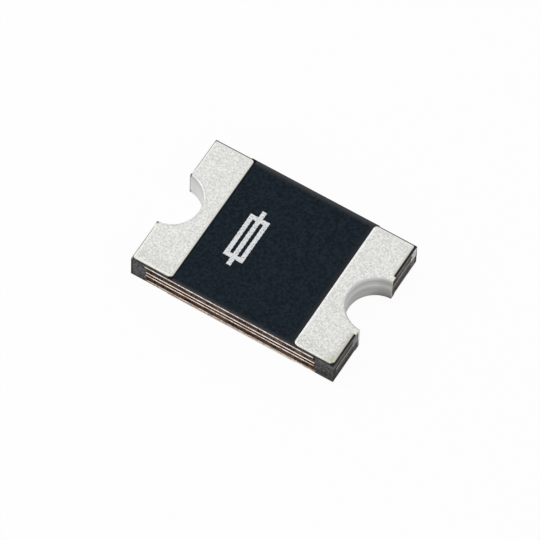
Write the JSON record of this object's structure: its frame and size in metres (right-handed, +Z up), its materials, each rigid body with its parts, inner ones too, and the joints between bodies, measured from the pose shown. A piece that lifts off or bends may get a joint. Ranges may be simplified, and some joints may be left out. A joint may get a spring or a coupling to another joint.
{
  "type": "resettable fuse",
  "caption": "Flat rectangular surface-mount resettable fuse: a polymer and foil laminate with a tinned solder pad wrapped over each end and a half-round plated notch in the middle of each end.",
  "frame": {"origin": "centre of the underside, in the plane of the lower solder pads", "axes": "+X from the marked terminal's end to the other terminal, along the length; +Y across the width; +Z up, out of the marked face"},
  "size_m": [0.0046, 0.0032, 0.0007],
  "materials": {
    "tin": "matte tin plate, fine grained",
    "copper": "plated copper, sawn edge",
    "electrode_foil": "nickel-faced copper foil, sawn edge",
    "polymer": "carbon-filled polymer, sawn edge",
    "prepreg": "glass-filled epoxy, sawn edge",
    "solder_mask": "matte blue-black mask",
    "ink": "white marking ink"
  },
  "bodies": {
    "root": {"marking": "ink", "solder_mask_top": "solder_mask", "solder_mask_bottom": "solder_mask", "tin_finish_left": "tin", "tin_finish_right": "tin", "copper_plating_left": "copper", "copper_plating_right": "copper", "pad_foil_top_left": "copper", "pad_foil_top_right": "copper", "pad_foil_bottom_left": "copper", "pad_foil_bottom_right": "copper", "prepreg_top": "prepreg", "prepreg_middle": "prepreg", "prepreg_bottom": "prepreg", "outer_foil_top": "electrode_foil", "inner_foil_upper": "electrode_foil", "inner_foil_lower": "electrode_foil", "outer_foil_bottom": "electrode_foil", "ptc_chip_upper": "polymer", "ptc_chip_lower": "polymer"}
  },
  "joints": []
}
